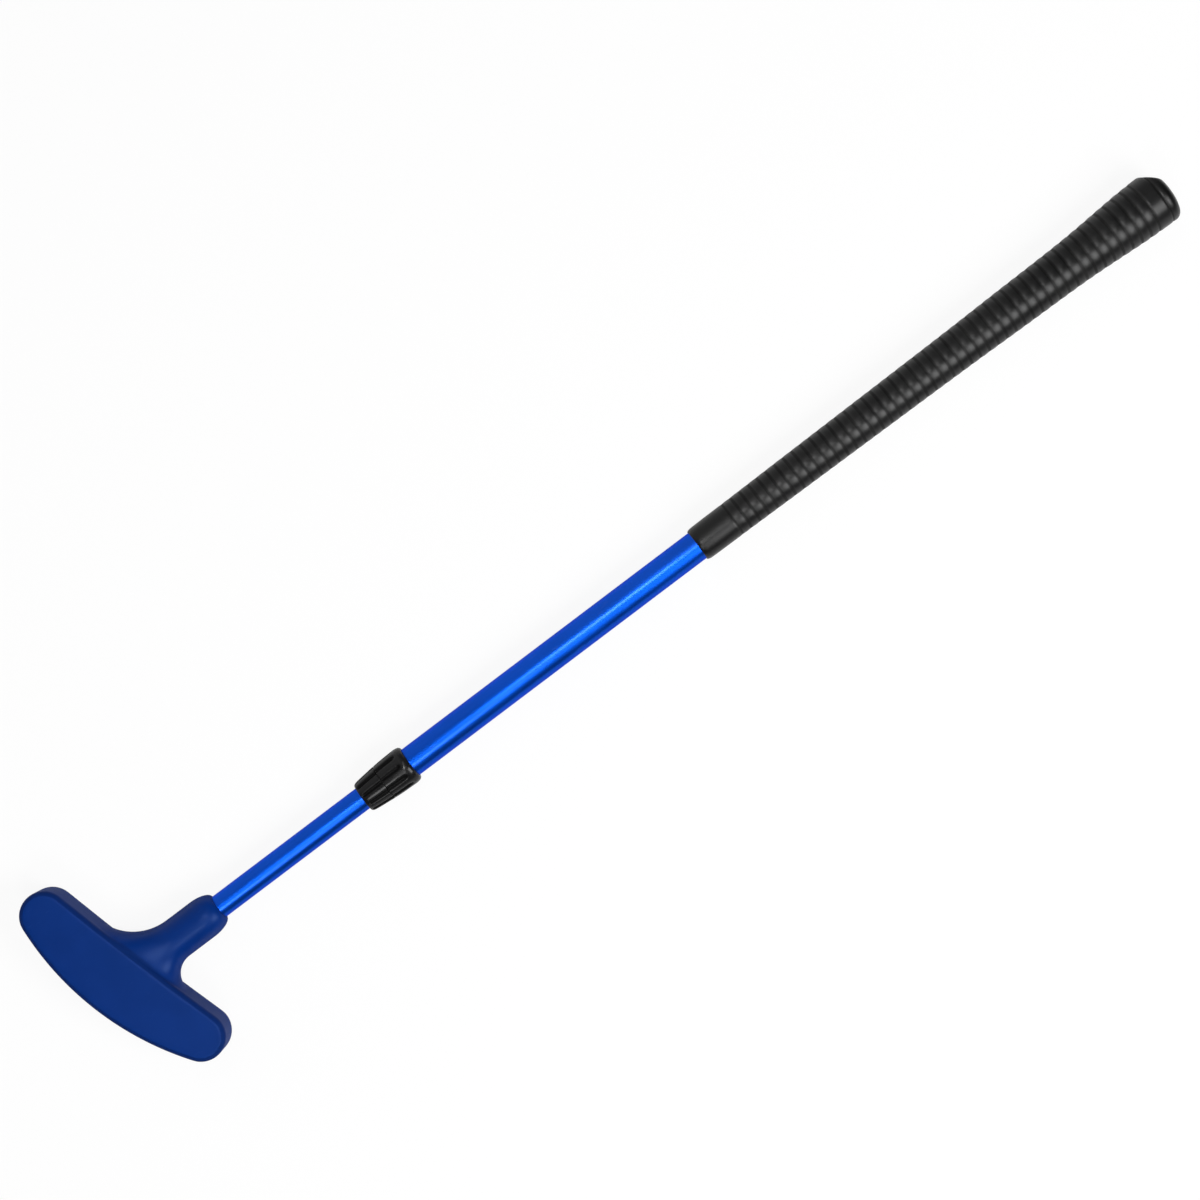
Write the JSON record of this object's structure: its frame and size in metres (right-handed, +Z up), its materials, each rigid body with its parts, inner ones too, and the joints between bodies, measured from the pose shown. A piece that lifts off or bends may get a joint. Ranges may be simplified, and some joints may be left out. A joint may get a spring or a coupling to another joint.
{
  "type": "two-way golf putter",
  "caption": "Telescopic golf putter with a T-shaped rubber head that strikes with either face, slim metal tubes, a fluted twist lock and a ribbed rubber grip.",
  "frame": {"origin": "on the striking face that the putter lies on, straight below the middle of the head on the shaft's axis", "axes": "+X along the shaft from the head to the butt of the grip, +Y to the toe end of the head, +Z up, square to both striking faces"},
  "size_m": [0.6247, 0.1108, 0.0265],
  "materials": {
    "head_rubber": "matt moulded rubber, dark blue",
    "grip_rubber": "matt ribbed rubber, black",
    "tube_blue": "satin blue anodised",
    "lock_plastic": "glossy black moulded",
    "plug_plastic": "plain black moulded",
    "bearing_plastic": "natural acetal",
    "core_iron": "cast, unpainted",
    "pin_steel": "ground",
    "tape": "double-sided paper tape"
  },
  "bodies": {
    "upper_assembly": {"upper_tube": "tube_blue", "lock_base": "lock_plastic", "tube_bush": "bearing_plastic", "tube_cap": "plug_plastic", "grip_tape": "tape", "grip_sleeve": "grip_rubber"},
    "collet": {"lock_collet": "bearing_plastic"},
    "nut": {"lock_nut": "lock_plastic"},
    "glide": {"glide_ring": "bearing_plastic"},
    "lower_assembly": {"lower_tube": "tube_blue", "guide_plug": "plug_plastic", "putter_head": "head_rubber", "head_core": "core_iron", "anchor_pin": "pin_steel"}
  },
  "joints": [
    {"name": "collet_slide", "type": "slide", "parent": "upper_assembly", "child": "collet", "axis": [-1, 0, 0], "range_m": [0, 0.0015]},
    {"name": "nut_turn", "type": "hinge", "parent": "collet", "child": "nut", "pos_m": [0.143, 0, 0.01325], "axis": [-1, 0, 0], "range_deg": [0, 180]},
    {"name": "length_slide", "type": "slide", "parent": "upper_assembly", "child": "glide", "axis": [-1, 0, 0], "range_m": [-0.08, 0.265]},
    {"name": "head_turn", "type": "hinge", "parent": "glide", "child": "lower_assembly", "pos_m": [0.1, 0, 0.01325], "axis": [-1, 0, 0], "continuous": true}
  ],
  "couplings": [
    {"joint": "nut_turn", "follows": "collet_slide", "rad_per_m": 2094.4}
  ]
}
